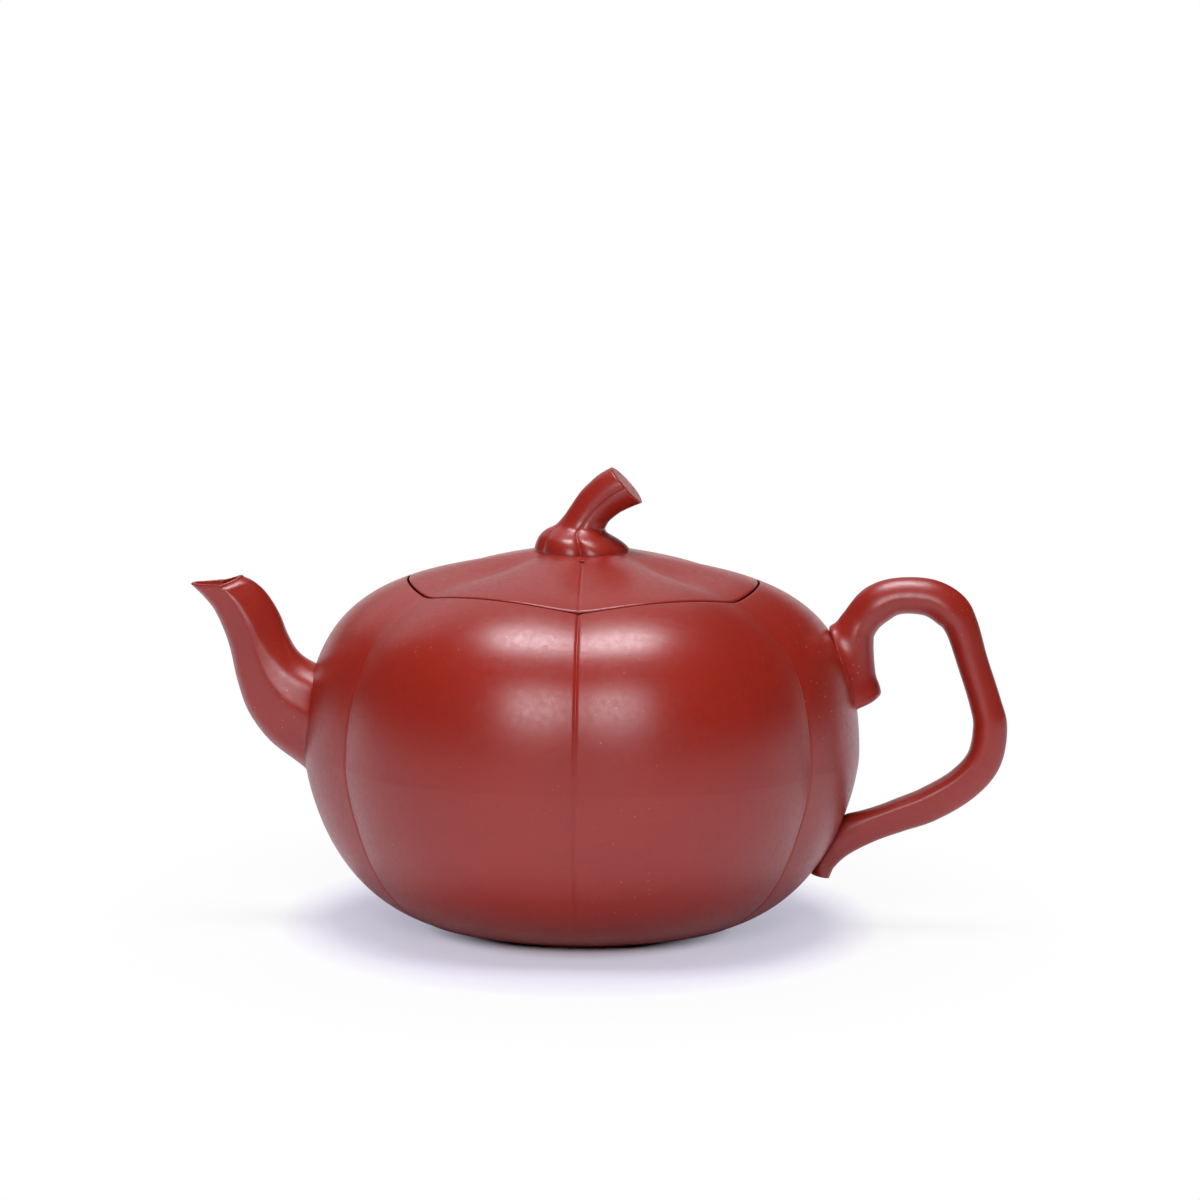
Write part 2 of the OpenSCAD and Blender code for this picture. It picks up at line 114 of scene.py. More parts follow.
# guide points of the outline's two cubics, as radius and level
SHOULDER = np.array(
    [
        [0, CROWN_Z],
        [CROWN_R, CROWN_Z - CROWN_DROP],
        [WAIST_R, WAIST_Z + SHOULDER_PULL * RISE],
        [WAIST_R, WAIST_Z],
    ]
)
BELLY = np.array(
    [
        [WAIST_R, WAIST_Z],
        [WAIST_R, (WAIST_Z + UNDER_Z) * BELLY_DROP - UNDER_Z],
        [BELLY_R, -UNDER_Z],
        [FOOT_R, -UNDER_Z],
    ]
)

# ---------------------------------------------------------------- curves


def mix(a, b, t):
    """Straight blend: a at t = 0, b at t = 1."""
    return a * (1 - t) + b * t


def smooth(t):
    """Smooth step: 3t^2 - 2t^3 with t held between 0 and 1."""
    t = np.clip(t, 0, 1)
    return t * t * (3 - 2 * t)


def cubic(p, t):
    """Cubic curve of four guide points: the Bernstein sum of p at t."""
    t = np.asarray(t, float)[..., None]
    return (1 - t) ** 3 * p[0] + 3 * (1 - t) ** 2 * t * p[1] + 3 * (1 - t) * t**2 * p[2] + t**3 * p[3]


def through(stations, t):
    """Smooth curve through a list of stations: the Catmull-Rom cubic between the two stations around t."""
    p = np.asarray(stations, float)
    p = np.vstack([2 * p[:1] - p[1:2], p, 2 * p[-1:] - p[-2:-1]])
    t = np.asarray(t, float)
    i = np.clip(np.floor(t).astype(int), 0, len(p) - 4)
    u = (t - i)[..., None]
    a, b, c, d = p[i], p[i + 1], p[i + 2], p[i + 3]
    return 0.5 * (2 * b + (c - a) * u + (2 * a - 5 * b + 4 * c - d) * u**2 + (3 * b - a - 3 * c + d) * u**3)


def rounded(v, n):
    """v's sign times its size to the power n, for sections between a circle and a diamond."""
    return np.sign(v) * np.abs(v) ** n


def bell(v, width):
    """Bell of height 1 about v = 0: e to the power of minus the square of v over its width."""
    return np.exp(-((v / width) ** 2))


def halving(below, top, shape):
    """Place between 0 and top up to which below holds, found by halving the interval 24 times."""
    lo, hi = np.zeros(shape), np.full(shape, float(top))
    for _ in range(24):
        middle = (lo + hi) / 2
        low = below(middle)
        lo, hi = np.where(low, middle, lo), np.where(low, hi, middle)
    return (lo + hi) / 2


def steps_round(n):
    """Angles once round in n even steps."""
    return np.arange(n) * 360.0 / n


# ---------------------------------------------------------------- lobed surface


def from_crease(a):
    """Angle to the nearest crease: creases lie at -90, -30, 30 degrees and so on, 60 apart."""
    return np.abs(a + 90 - 60 * np.round((a + 90) / 60))


def side_crease(a):
    """Mask of the creases other than the front one: a smooth step over the angle away from the front."""
    return smooth((np.abs(np.mod(a + 270, 360) - 180) - 20) / 15)


def crease(a, soft):
    """Crease across the lobes: a share of cosine wave plus a power fold, whose bottom is rounded by soft."""
    u = from_crease(a) / 30
    fold = np.maximum(0, 1 - np.sqrt(u * u + soft * soft)) ** CREASE_POWER
    return CREASE_SOFT * (0.5 + 0.5 * np.cos(np.pi * u)) + (1 - CREASE_SOFT) * fold


def meridian(u):
    """Outline of the lobes: the shoulder's cubic for u in 0..1, then the belly's for u in 1..2."""
    u = np.asarray(u, float)
    shoulder, belly = cubic(SHOULDER, np.clip(u, 0, 1)), cubic(BELLY, np.clip(u - 1, 0, 1))
    return np.where(u[..., None] <= 1, shoulder, belly)


def meridian_out(u):
    """Unit normal of the outline: the tangent from a small step, turned a quarter turn outwards."""
    d = meridian(np.minimum(2, u + 0.001)) - meridian(np.maximum(0, u - 0.001))
    n = np.stack([-d[..., 1], d[..., 0]], -1)
    return n / np.linalg.norm(n, axis=-1, keepdims=True)


def crease_at(u, a, soft):
    """Depth of the crease at outline place u and angle a.

    The depth grows with the radius, times 1 plus a bell on the lid, and fades smoothly towards the foot.
    Away from the front, the crease's bottom is rounder on the shoulder.
    """
    soft = np.maximum(soft, 0.11 * side_crease(a) * (1 - smooth((u - 0.45) / 0.45)))
    r = meridian(u)[..., 0]
    swell = 1 + 0.75 * bell(r - 19, 7.5)
    return CREASE_DEPTH * r * swell / WAIST_R * (1 - smooth((u - 1.35) / 0.6)) * crease(a, soft)


def incised(u, a, depth):
    """Depth of the thin line cut along the fold.

    Across the line it is a bell. Along the line it runs out near the foot and the crown, and away from
    the front also on the shoulder.
    """
    r = np.maximum(meridian(u)[..., 0], 1)
    depth = depth * mix(1, smooth((u - 0.6) / 0.35), side_crease(a))
    off = np.radians(from_crease(a)) * r
    return depth * bell(off, LINE_HALF) * (1 - smooth((u - 1.72) / 0.18)) * smooth((r - 9) / 8)


def shell(u, a, inside=0.0, w=0.0, line=0.0, soft=CREASE_ROUND):
    """Radius and level of the shell: the outline moved in along its normal by crease, line and wall."""
    depth = crease_at(u, a, soft) * mix(1, CREASE_INSIDE, inside) + inside * w + incised(u, a, line)
    return meridian(u) - depth[..., None] * meridian_out(u)


def u_of_r(r, a, soft=CREASE_ROUND):
    """Outline place on the shoulder with plan radius r."""
    return halving(lambda u: shell(u, a, soft=soft)[..., 0] < r, 1, np.broadcast(r, a).shape)


def u_of_z(z, a):
    """Outline place with level z."""
    return halving(lambda u: shell(u, a)[..., 1] > z, 2, np.broadcast(z, a).shape)


def wall_x(y, z):
    """Distance of the lobed surface from the YZ plane at width y and level z.

    The angle starts at 0 and is closed in on in five rounds, each from the distance of the round before.
    """
    a = 0 * y
    for _ in range(5):
        r = shell(u_of_z(z, a), a)[..., 0]
        x = np.sqrt(np.maximum(1, r * r - y * y))
        a = np.degrees(np.arctan2(y, x))
    return x


def eased(x, low, k):
    """The larger of x and low, with a soft turn of width k: half the sum plus half the rounded difference."""
    return (x + low + np.sqrt((x - low) ** 2 + k * k)) / 2


def spin(rz, a):
    """Radius and level turned about the axis by angle a."""
    t = np.radians(a)
    return np.stack([rz[..., 0] * np.cos(t), rz[..., 0] * np.sin(t), rz[..., 1] + 0 * t], -1)


def lobe_angles(n):
    """Angles once round, n to each half lobe, packed towards the creases by the power 1.9 of the step."""
    j = np.arange(-n, n)
    one = np.sign(j) * (np.abs(j) / n) ** 1.9 * 30
    return (-90 + 60 * np.arange(6)[:, None] + one[None, :]).ravel()


def flat_ring(a, r, z):
    """Ring of one radius and one level, a point to each angle."""
    return np.stack([np.full_like(a, r), np.full_like(a, z)], -1)


# where the wall's inside surface begins above the base plate and ends under the ledge
INSIDE_LOW_U = 1.94
INSIDE_TOP_U = 0.55
INSIDE_LOW_R = float(shell(np.array(INSIDE_LOW_U), np.array(0.0), 1, WALL)[0])

# ---------------------------------------------------------------- meshes


def skin(name, rings, loop=False, first=None, last=None):
    """Smooth mesh over a grid of rings, with its normals outwards.

    Quads join neighbouring rings, and the last ring with the first where loop is set. A fan of triangles
    joins an end ring with its middle point. All faces are turned over where the sum of their corners' triple
    products, six times the volume, is negative.
    """
    m, n = rings.shape[:2]
    points = rings.reshape(-1, 3)
    i, j = np.meshgrid(np.arange(m if loop else m - 1), np.arange(n), indexing="ij")
    here, ahead, beside = i * n, (i + 1) % m * n, (j + 1) % n
    quads = np.stack([here + j, here + beside, ahead + beside, ahead + j], -1).reshape(-1, 4)
    ring = np.arange(n)
    after = (ring + 1) % n
    fans = [np.zeros((0, 3), int)]
    if first is not None:
        fans.append(np.stack([np.full(n, len(points)), after, ring], -1))
        points = np.vstack([points, first])
    if last is not None:
        fans.append(np.stack([np.full(n, len(points)), (m - 1) * n + ring, (m - 1) * n + after], -1))
        points = np.vstack([points, last])
    tris = np.vstack(fans)

    def volume(p):
        return np.einsum("ij,ij->", p[:, 0], np.cross(p[:, 1], p[:, 2]))

    p = points[quads]
    if volume(p) + volume(p[:, [0, 2, 3]]) + volume(points[tris]) < 0:
        quads, tris = quads[:, ::-1], tris[:, ::-1]
    loops = np.concatenate([quads.ravel(), tris.ravel()])
    starts = np.concatenate([np.arange(len(quads)) * 4, len(quads) * 4 + np.arange(len(tris)) * 3])
    mesh = bpy.data.meshes.new(name)
    mesh.vertices.add(len(points))
    mesh.vertices.foreach_set("co", (points / 1000).astype(np.float32).ravel())
    mesh.loops.add(len(loops))
    mesh.loops.foreach_set("vertex_index", loops.astype(np.int32))
    mesh.polygons.add(len(starts))
    mesh.polygons.foreach_set("loop_start", starts.astype(np.int32))
    mesh.update(calc_edges=True)
    mesh.validate()
    mesh.polygons.foreach_set("use_smooth", np.ones(len(mesh.polygons), bool))
    return placed(name, mesh)


def placed(name, data):
    """New object for a mesh, lamp or camera, in the scene."""
    obj = bpy.data.objects.new(name, data)
    bpy.context.scene.collection.objects.link(obj)
    return obj


def bored(obj, centre, direction, radius, length):
    """Cuts a round hole through obj: a cylinder of 64 sides taken away from the closed skin."""
    turn = Vector(direction).normalized().to_track_quat("Z", "Y").to_matrix().to_4x4()
    bpy.ops.mesh.primitive_cylinder_add(vertices=64, radius=radius / 1000, depth=length / 1000)
    drill = bpy.context.object
    drill.matrix_world = Matrix.Translation(Vector(centre) / 1000) @ turn
    bpy.context.view_layer.update()
    cut = obj.modifiers.new("bore", "BOOLEAN")
    cut.operation = "DIFFERENCE"
    cut.solver = "MANIFOLD"
    cut.object = drill
    result = bpy.data.meshes.new_from_object(obj.evaluated_get(bpy.context.evaluated_depsgraph_get()))
    obj.modifiers.remove(cut)
    result.name = obj.data.name
    obj.data = result
    bpy.data.objects.remove(drill)
    return obj


def corner(start, tip, end, steps):
    """Rounded corner: the quadratic curve from start to end with its guide point at tip, ends left out."""
    t = (np.arange(1, steps) / steps)[:, None, None]
    return (1 - t) ** 2 * start + 2 * t * (1 - t) * tip + t**2 * end


def soft_outline(points, ease):
    """Outline with each corner rounded by a quadratic curve of four steps that starts ease away from it."""
    p = np.asarray(points, float)
    before, after = np.roll(p, 1, 0) - p, np.roll(p, -1, 0) - p
    before_l, after_l = np.linalg.norm(before, axis=1), np.linalg.norm(after, axis=1)
    e = np.minimum(ease, np.minimum(before_l, after_l) * 0.45)[:, None]
    start, end = p + before / before_l[:, None] * e, p + after / after_l[:, None] * e
    t = np.linspace(0, 1, 5)[None, :, None]
    curve = (1 - t) ** 2 * start[:, None] + 2 * t * (1 - t) * p[:, None] + t**2 * end[:, None]
    return curve.reshape(-1, 2)


def revolve(name, profile, **ends):
    """Outline of radius and level carried round the axis in 192 steps."""
    return skin(name, spin(np.asarray(profile, float)[:, None, :], steps_round(192)), **ends)


# ---------------------------------------------------------------- pot


def pot_wall():
    """Closed skin of the lobed wall: up the mouth's bore, over its rim, down the lobes, back up inside."""
    a = lobe_angles(27)
    rim_u = u_of_r(MOUTH_R + RIM_EASE, a)
    tip = shell(u_of_r(MOUTH_R, a), a, line=LINE_DEPTH)
    tip[:, 0] = MOUTH_R
    seat, side = flat_ring(a, MOUTH_R, SEAT_Z), tip - [0, RIM_EASE]
    bore = [seat, mix(seat, side, 0.5), side]
    rim = corner(side, tip, shell(rim_u, a, line=LINE_DEPTH), 4)
    t = np.linspace(0, 1, 70)[:, None]
    shoulder = shell(mix(rim_u, 1.0, t), a, line=LINE_DEPTH)
    t = np.linspace(0, 1, 66)[1:, None]
    belly = shell(mix(1.0, u_of_z(BASE_JOINT_Z, a), t), a, line=LINE_DEPTH)
    hem = [belly[-1] - [0.03, 0], flat_ring(a, INSIDE_LOW_R, BASE_JOINT_Z)]
    t = np.linspace(0, 1, 40)[:, None]
    inner = shell(mix(INSIDE_LOW_U, INSIDE_TOP_U, t), a, 1.0, WALL)
    lap = [flat_ring(a, MOUTH_R + LEDGE_LAP, SEAT_Z)]
    obj = skin("pot_wall", spin(np.concatenate([bore, rim, shoulder, belly, hem, inner, lap]), a), loop=True)
    return bored(obj, (-WAIST_R + 3, 0, OUTLET_Z), (1, 0, 0), OUTLET_R, 16)


def base_disc():
    """Base plate: the belly's outline run on to the foot, a rest ring, a shallow hollow, a flat floor."""
    zero = np.array(0.0)
    outer = shell(np.linspace(float(u_of_z(BASE_JOINT_Z, zero)), float(u_of_z(0.0, zero)), 12), np.zeros(12))
    outer[-1, 1] = 0.0
    boss = INSIDE_LOW_R - LAP_GAP
    hollow = [[22.6, 0.0], [21.6, 0.12], [20.6, 0.3], [19.4, 0.36]]
    rows = np.vstack([[[boss, BASE_TOP_Z], [boss, BASE_JOINT_Z]], outer, hollow])
    return revolve("base_disc", rows, first=[[0, 0, BASE_TOP_Z]], last=[[0, 0, 0.4]])


def ledge_ring():
    """Ledge ring: its turned outline with soft edges."""
    out, low = MOUTH_R + LEDGE_LAP - LAP_GAP, SEAT_Z - LEDGE_T
    inner = [[LEDGE_R, SEAT_Z], [LEDGE_R, low]]
    outer = [[out - LEDGE_BEVEL, low], [out, low + LEDGE_BEVEL], [out, SEAT_Z]]
    return revolve("ledge_ring", soft_outline(inner + outer, 0.5), loop=True)


# ---------------------------------------------------------------- lid


def tongue_ring():
    """Tongue ring: its turned outline with soft edges."""
    out, low = LEDGE_R - TONGUE_GAP, SEAT_Z - TONGUE_H
    outline = [[out - TONGUE_T, SEAT_Z], [out - TONGUE_T, low], [out, low], [out, SEAT_Z]]
    return revolve("tongue_ring", soft_outline(outline, 0.6), loop=True)


def lid_cover():
    """Lobed lid: the shoulder's surface out to a rounded, undercut edge, a flat underside and a hollow."""
    a = lobe_angles(27)
    line, soft = LINE_DEPTH * 0.5, LID_ROUND
    edge_r = LID_R - LID_TRIM
    t = np.linspace(0, 1, 70)[:, None]
    top = shell(mix(u_of_r(8.0, a, soft), u_of_r(edge_r - 0.42, a, soft), t), a, line=line, soft=soft)
    tip = shell(u_of_r(edge_r, a, soft), a, line=line, soft=soft)
    tip[:, 0] = edge_r
    side, under_edge = tip - [0.1, 0.32], tip - [0.7, 1.0]
    seat = flat_ring(a, edge_r - 0.7, SEAT_Z)
    under = flat_ring(a, LEDGE_R - TONGUE_GAP - TONGUE_T - 0.3, SEAT_Z)
    rim = corner(top[-1], tip, side, 6)
    fall = [side, mix(side, under_edge, 0.5), under_edge]
    fall += [mix(under_edge, seat, t) for t in (0.5, 0.95, 1.0)]
    flat = [mix(seat, under, t) for t in (0.02, 0.5, 0.98, 1.0)]
    t = np.linspace(0, 1, 16)[:, None]
    hollow = shell(mix(0.33, 0.08, t), a, 1.0, LID_T)
    hollow[..., 0] = np.minimum(hollow[..., 0], under[:, 0] - 0.4)
    crown = [[0, 0, float(top[0, :, 1].max())]]
    vault = [[0, 0, float(shell(np.array(0.06), np.array(0.0), 1, LID_T)[1])]]
    rings = spin(np.concatenate([top, rim, fall, flat, hollow]), a)
    obj = skin("lid_cover", rings, first=crown, last=vault)
    return bored(obj, (0, -VENT_Y, 70), (0, 0, 1), VENT_D / 2, 12)


# ---------------------------------------------------------------- spout

# stations from the root (0) to the lip (8): distance and level of the low and the high edge, half the width
SPOUT_LOW = np.array(
    [
        [50.6, 27.9],
        [55.6, 31.1],
        [60.9, 35],
        [65, 40.5],
        [67.2, 46.5],
        [69, 54],
        [71.4, 59.8],
        [73.6, 62.8],
        [SPOUT_REACH, TIP_Z],
    ]
)
SPOUT_HIGH = np.array(
    [
        [49, 49.6],
        [52.9, 50.8],
        [55.5, 52.8],
        [57.4, 56],
        [58.8, 59.4],
        [60.5, 62.4],
        [62.3, 64.7],
        [64.3, 66.3],
        [66.2, 67.2],
    ]
)
SPOUT_HALF = np.array(
    [[ROOT_W - less] for less in (0, 1.2, 2.2, 3, 3.6, 4.1)] + [[MOUTH_W + more] for more in (0.6, 0.25, 0)]
)
# at each station, where the side facet begins and ends between the low edge (-1) and the high edge (1),
# and the share of the half width at its end
FACET = np.array(
    [
        [0.04, 0.72, 0.8],
        [0.04, 0.7, 0.8],
        [0.0, 0.6, 0.83],
        [-0.04, 0.46, 0.86],
        [-0.06, 0.3, 0.9],
        [-0.06, 0.18, 0.93],
        [-0.08, 0.1, 0.95],
        [-0.04, 0.08, 0.96],
        [0.14, 0.2, 0.97],
    ]
)
LIP_STATION = 8
# angles of the six corners on one side of the section, the third of which is the crisp ridge
FACET_STOPS = np.array([0, 25, 72, 96, 155, 180.0])


def facet_section(t, a):
    """Spout's section at angle a: place between the low edge (-1) and the high edge (1), and share of width.

    Straight faces join six corners a side, and nine places on an arc about a are averaged to round them.
    The arc is 10 degrees wide at the ridge, and by a smooth step 48 degrees wide away from it.
    """
    f = through(FACET, t)
    one, none = np.ones_like(f[..., 0]), np.zeros_like(f[..., 0])
    along = np.stack([-one, -one, f[..., 0], f[..., 1], one, one], -1)
    across = np.stack([none, 0.42 * one, one, f[..., 2], 0.34 * one, none], -1)

    def pick(corners, i):
        return np.take_along_axis(corners, i[..., None], -1)[..., 0]

    def straight(at):
        at = np.mod(at, 360)
        half = np.where(at > 180, 360 - at, at)
        i = np.clip(np.searchsorted(FACET_STOPS, half, side="right") - 1, 0, 4)
        w = (half - FACET_STOPS[i]) / (FACET_STOPS[i + 1] - FACET_STOPS[i])
        width = mix(pick(across, i), pick(across, i + 1), w) * np.where(at > 180, -1, 1)
        return mix(pick(along, i), pick(along, i + 1), w), width

    off_ridge = np.abs(np.abs(np.mod(a, 360) - 180) - (180 - FACET_STOPS[2]))
    reach = mix(5.0, 24.0, smooth((off_ridge - 8) / 50))
    parts = [straight(a + k / 4 * reach) for k in range(-4, 5)]
    return sum(p[0] for p in parts) / 9, sum(p[1] for p in parts) / 9


def spout_points(t, a, inside):
    """Spout section at station t: facets outside, and inside a soft diamond that meets them at the lip."""
    t, a = np.broadcast_arrays(np.asarray(t, float), np.asarray(a, float))
    r = np.radians(a)
    lo, hi, w = through(SPOUT_LOW, t), through(SPOUT_HIGH, t), through(SPOUT_HALF, t)[..., 0]
    half = np.linalg.norm(hi - lo, axis=-1) / 2
    upward = (hi - lo) / (2 * half[..., None])
    k = mix(ROOT_T, LIP_T, t / LIP_STATION)
    c, y = facet_section(t, a)
    at_lip = smooth((t - 6) / 2)
    soft_c, soft_y = -rounded(np.cos(r), 1.12) - 0.1 * np.sin(r) ** 2, rounded(np.sin(r), 1.12)
    along = mix(half * c, (half - k) * mix(soft_c, c, at_lip), inside)
    across = mix(w * y, (w - k) * mix(soft_y, y, at_lip), inside)
    dip = smooth(t - 7) * 0.85 * np.sin(r) ** 2
    mid = (hi + lo) / 2 + upward * along[..., None]
    return np.stack([-mid[..., 0], across, mid[..., 1] - dip], -1)


def luted(p, inside):
    """Points near the pot laid on its lobed wall, let in by the lute, with a soft turn where they leave."""
    wall = wall_x(p[..., 1], p[..., 2]) - LUTE
    free = smooth((-p[..., 0] - 57) / 5)
    x = np.maximum(-p[..., 0], wall) if inside else eased(-p[..., 0], wall, 1.5 * (1 - free))
    return np.stack([-x, p[..., 1], p[..., 2]], -1)


def spout_tube():
    """Spout: outside rows from root to lip, a lip rounded by half a turn, then the channel's rows back."""
    a = steps_round(160)
    outer = luted(spout_points(np.linspace(0.3, LIP_STATION, 132)[:, None], a, 0.0), False)
    inner = luted(spout_points(np.linspace(LIP_STATION, 0.6, 62)[:, None], a, 1.0), True)
    turns = np.radians(np.linspace(0, 180, 9))[1:-1]
    lip = [mix(outer[-1], inner[0], 0.5 - 0.5 * math.cos(r)) + [0, 0, 0.3 * math.sin(r)] for r in turns]
    return skin("spout_tube", np.concatenate([outer, lip, inner]), loop=True)


# ---------------------------------------------------------------- handle

# middle line of the arm from its tail to its stub: distance and level, half thickness, lean of the section
HANDLE_PATH = np.array(
    [
        [47.2, 9.8, 1.5, 0],
        [48.1, 12.9, 2.1, 0],
        [51, 16.4, 2.7, 0],
        [56.4, 19.6, 3, 0],
        [62.1, 22, 3.25, 0],
        [67.7, 24.2, 3.45, 0],
        [74.1, 28.1, 3.45, 0],
        [78.3, 33, 3.45, 0],
        [79.5, 39.4, 3.35, 0],
        [78.5, 44.4, 3.1, 0],
        [75.8, 52.6, 3.05, 0],
        [73.6, 59.3, 3.3, 0],
        [71.3, 62.7, 3.75, 0],
        [67.1, 65, 3.65, 0],
        [61.2, 65.2, 3.6, 0],
        [57.1, 63.5, 3.9, 0],
        [54.1, 60.3, 3.7, 0],
        [52.5, 56.5, 4.1, 0],
        [53, 49.4, 4.1, 0],
        [54.1, 45.9, 4.15, 8],
        [54.8, 43.6, 4.1, 12],
    ]
)
HANDLE_END = len(HANDLE_PATH) - 1
LOW_ROOT = 2.3
HIGH_ROOT = 16.7
NEAR_POT = 62
# the stub's last rows: share of the last half station, share of the section
STUB_ROWS = ((0.3, 0.99), (0.55, 0.96), (0.75, 0.9), (0.9, 0.8), (0.97, 0.6), (1.0, 0.3))


def handle_points(t, a, s=1.0):
    """Handle section at station t, scaled by s: a soft diamond across the path, its side ridge set inwards.

    Near the pot the section flares by a fillet that falls off with the distance from the wall, its outer edge
    rises a little at the upper root, and a bell of that distance draws it on to the wall.
    """
    t, a = np.broadcast_arrays(np.asarray(t, float), np.radians(a))
    p = through(HANDLE_PATH, t)
    f = through(HANDLE_PATH, np.minimum(HANDLE_END, t + 0.05)) - through(HANDLE_PATH, np.maximum(0, t - 0.05))
    f = f[..., :2] / np.linalg.norm(f[..., :2], axis=-1, keepdims=True)
    lean = np.radians(p[..., 3])
    out_x = f[..., 1] * np.cos(lean) + f[..., 0] * np.sin(lean)
    out_z = f[..., 1] * np.sin(lean) - f[..., 0] * np.cos(lean)
    web = np.where(np.cos(a) < 0, 1 + 0.5 * bell(t - LOW_ROOT, 0.75), 1)
    ridge = 0.06 + 0.38 * smooth((t - 1.5) / 1.5) * (1 - smooth((t - 6) / 3))
    h = p[..., 2] * (rounded(np.cos(a), 1.18) * web - ridge * np.sin(a) ** 2) * s
    y = 1.02 * np.maximum(p[..., 2], 2) * rounded(np.sin(a), 1.18) * s
    x, z = p[..., 0] + h * out_x, p[..., 1] + h * out_z
    near = x < NEAR_POT

    def wall_beside():
        """Wall's distance at the points near the pot, and at a plain place for the others."""
        return wall_x(np.where(near, y, 0), np.where(near, z, 30))

    wall = wall_beside()
    spread = mix(1.2, 3.8, smooth((z - 30) / 15))
    fillet = spread * (1 - np.clip((x - wall + LUTE) / (1.6 * spread), 0, 1)) ** 4
    y = np.where(near, y + fillet * np.sin(a) * s, y)
    close = 1 - np.clip((x - wall) / 4, 0, 1)
    lift = 1.9 * close**2 * np.maximum(0, np.cos(a)) * bell(t - HIGH_ROOT, 0.8)
    z = z + np.where(near, lift, 0)
    wall = wall_beside()
    free = x - wall
    drawn = np.maximum(free * (1 - 0.9 * bell(free, 1.5)), -LUTE)
    return np.stack([np.where(near, wall + drawn, x), y, z], -1)


def handle_arm():
    """Handle: sections from the tail to the cut stub, whose edge is rounded by shrinking its last rows."""
    a = steps_round(64)
    start = HANDLE_END - 0.5
    arm = handle_points(np.linspace(0.0, start, 300)[:, None], a)
    stub = [handle_points(np.full_like(a, start + 0.5 * t), a, s) for t, s in STUB_ROWS]
    tail, cut = (handle_points(np.array([t]), np.array([0.0]), 0.0) for t in (0.0, HANDLE_END))
    return skin("handle_arm", np.concatenate([arm, stub]), first=tail, last=cut)


# ---------------------------------------------------------------- knob

# stations up the stalk: distance, level over the knob's underside, radius along the lean, radius across, turn
KNOB_PATH = np.array(
    [
        [-0.34, 0, 9.33, 9.3, 0],
        [-0.36, 1.1, 9.25, 9.3, 0],
        [-0.62, 2.3, 8.6, 8.8, 1],
        [-1.05, 3.5, 7.45, 7.7, 2],
        [-1.3, 4.55, 5.95, 5.8, 3],
        [-0.7, 5.4, 4.85, 4.6, 4],
        [0.1, 6.5, 4.4, 4.15, 8],
        [0.78, 7.5, 4.22, 4, 12],
        [1.85, 8.85, 4.25, 3.9, 18],
        [3.15, 10.3, 4.4, 3.9, 25],
        [4.6, 11.5, 4.5, 4, 32],
        [6.3, 12.7, 4.6, 4.1, 40],
        [8.1, 13.65, 4.55, 4.2, KNOB_LEAN],
    ]
) + np.array([0, KNOB_Z, 0, 0, 0])
KNOB_END = len(KNOB_PATH) - 1
FORWARD_TIP = 5
# rows of the cut end: share of the last section, rise along the stalk
CUT_ROWS = ((0.975, 0.1), (0.94, 0.18), (0.89, 0.22), (0.83, 0.23), (0.5, 0.22), (0.2, 0.22))


def flute(a, t):
    """Flute round the knob: folds between six lobes, which fade above the foot but at the stalk's sides."""
    u = from_crease(a) / 30
    fine = np.maximum(0, 1 - np.sqrt(u * u + 0.0009))
    s = np.sin(np.radians(a))
    front, side = smooth((-s - 0.6) / 0.3), smooth((np.abs(s) - 0.6) / 0.3)
    power = mix(mix(2.4, 5.0, front), 7.0, smooth((t - 2) / 4))
    fold = 0.2 * (0.5 + 0.5 * np.cos(np.pi * u)) + 0.8 * fine**power
    return fold * mix(0.55 + 0.45 * side, side, smooth((t - 4) / 2))


def knob_points(t, a, s=1.0):
    """Knob section at station t, scaled by s: a fluted round turned with the lean and tipped to the front."""
    t, a = np.broadcast_arrays(np.asarray(t, float), np.asarray(a, float))
    p = through(KNOB_PATH, t)
    k = 1 - FLUTE_DEPTH * mix(1, 0.5, smooth((t - 3) / 3)) * flute(a, t)
    r, turn, tip = np.radians(a), np.radians(p[..., 4]), math.radians(FORWARD_TIP) * smooth((t - 6) / 6)
    e, w = p[..., 2] * np.cos(r) * k * s, p[..., 3] * np.sin(r) * k * s
    x = p[..., 0] + e * np.cos(turn) + w * np.sin(tip) * np.sin(turn)
    return np.stack([x, w * np.cos(tip), p[..., 1] - e * np.sin(turn) + w * np.sin(tip) * np.cos(turn)], -1)


def stalk_knob():
    """Knob: fluted rows from the swollen foot up the leaning stalk, a narrow bevelled rim, a flat cut end."""
    a = lobe_angles(12)
    rows = knob_points(np.linspace(0, KNOB_END, 130)[:, None], a)
    lean = math.radians(KNOB_LEAN)
    onward = np.array([math.sin(lean), -0.14, math.cos(lean)])
    cut = [knob_points(np.full_like(a, KNOB_END), a, s) + rise * onward for s, rise in CUT_ROWS]
    foot, middle = (knob_points(np.array([t]), np.array([0.0]), 0.0) for t in (0.0, KNOB_END))
    return skin("stalk_knob", np.concatenate([rows, cut]), first=foot, last=middle + CUT_ROWS[-1][1] * onward)


# ---------------------------------------------------------------- clay


